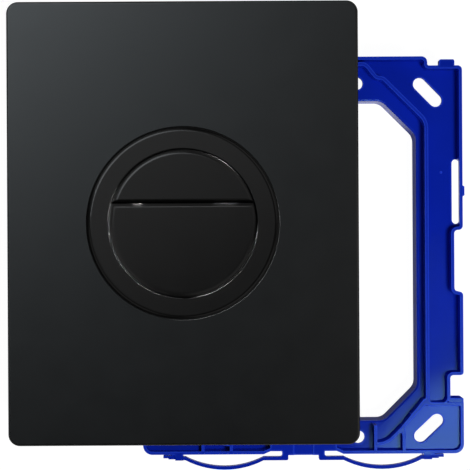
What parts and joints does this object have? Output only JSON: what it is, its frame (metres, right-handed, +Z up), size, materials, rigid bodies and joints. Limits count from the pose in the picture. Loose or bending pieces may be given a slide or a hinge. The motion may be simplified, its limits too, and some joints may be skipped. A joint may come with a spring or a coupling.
{
  "type": "flush button plate",
  "caption": "Portrait black flush plate with a round split button, lying on its blue moulded wall frame, with the air bellows behind its sprung buttons.",
  "frame": {"origin": "middle of the overall box in X and Y, on the surface the frame's collar lies on", "axes": "+Z up out of the plate's face, +Y towards the plate's top edge, +X to the right as seen from the front"},
  "size_m": [0.205, 0.21, 0.0337],
  "materials": {
    "plate_black": "matt soft-touch moulded",
    "trim_black": "matt moulded",
    "button_black": "matt moulded",
    "inner_grey": "plain moulded",
    "housing_black": "plain moulded",
    "zinc_steel": "zinc plated",
    "bellows_rubber": "smooth rubber",
    "spring_steel": "bright spring steel",
    "nipple_white": "plain moulded",
    "frame_blue": "glossy moulded"
  },
  "bodies": {
    "plate_and_frame": {"face_plate": "plate_black", "trim_ring": "trim_black", "button_housing": "housing_black", "housing_screws": "zinc_steel", "small_bellows": "bellows_rubber", "large_bellows": "bellows_rubber", "small_return_spring": "spring_steel", "large_return_spring": "spring_steel", "small_hose_nipple": "nipple_white", "large_hose_nipple": "nipple_white", "nipple_retaining_washers": "spring_steel", "mounting_frame": "frame_blue"},
    "small_button": {"small_button_cap": "button_black", "small_button_slider": "inner_grey"},
    "large_button": {"large_button_cap": "button_black", "large_button_slider": "inner_grey"}
  },
  "joints": [
    {"name": "small_button_press", "type": "slide", "parent": "plate_and_frame", "child": "small_button", "axis": [0, 0, -1], "range_m": [0, 0.004], "stiffness_N_per_m": 600, "springref_m": -0.003, "deforming": ["small_bellows", "small_return_spring"]},
    {"name": "large_button_press", "type": "slide", "parent": "plate_and_frame", "child": "large_button", "axis": [0, 0, -1], "range_m": [0, 0.004], "stiffness_N_per_m": 800, "springref_m": -0.003, "deforming": ["large_bellows", "large_return_spring"]}
  ]
}
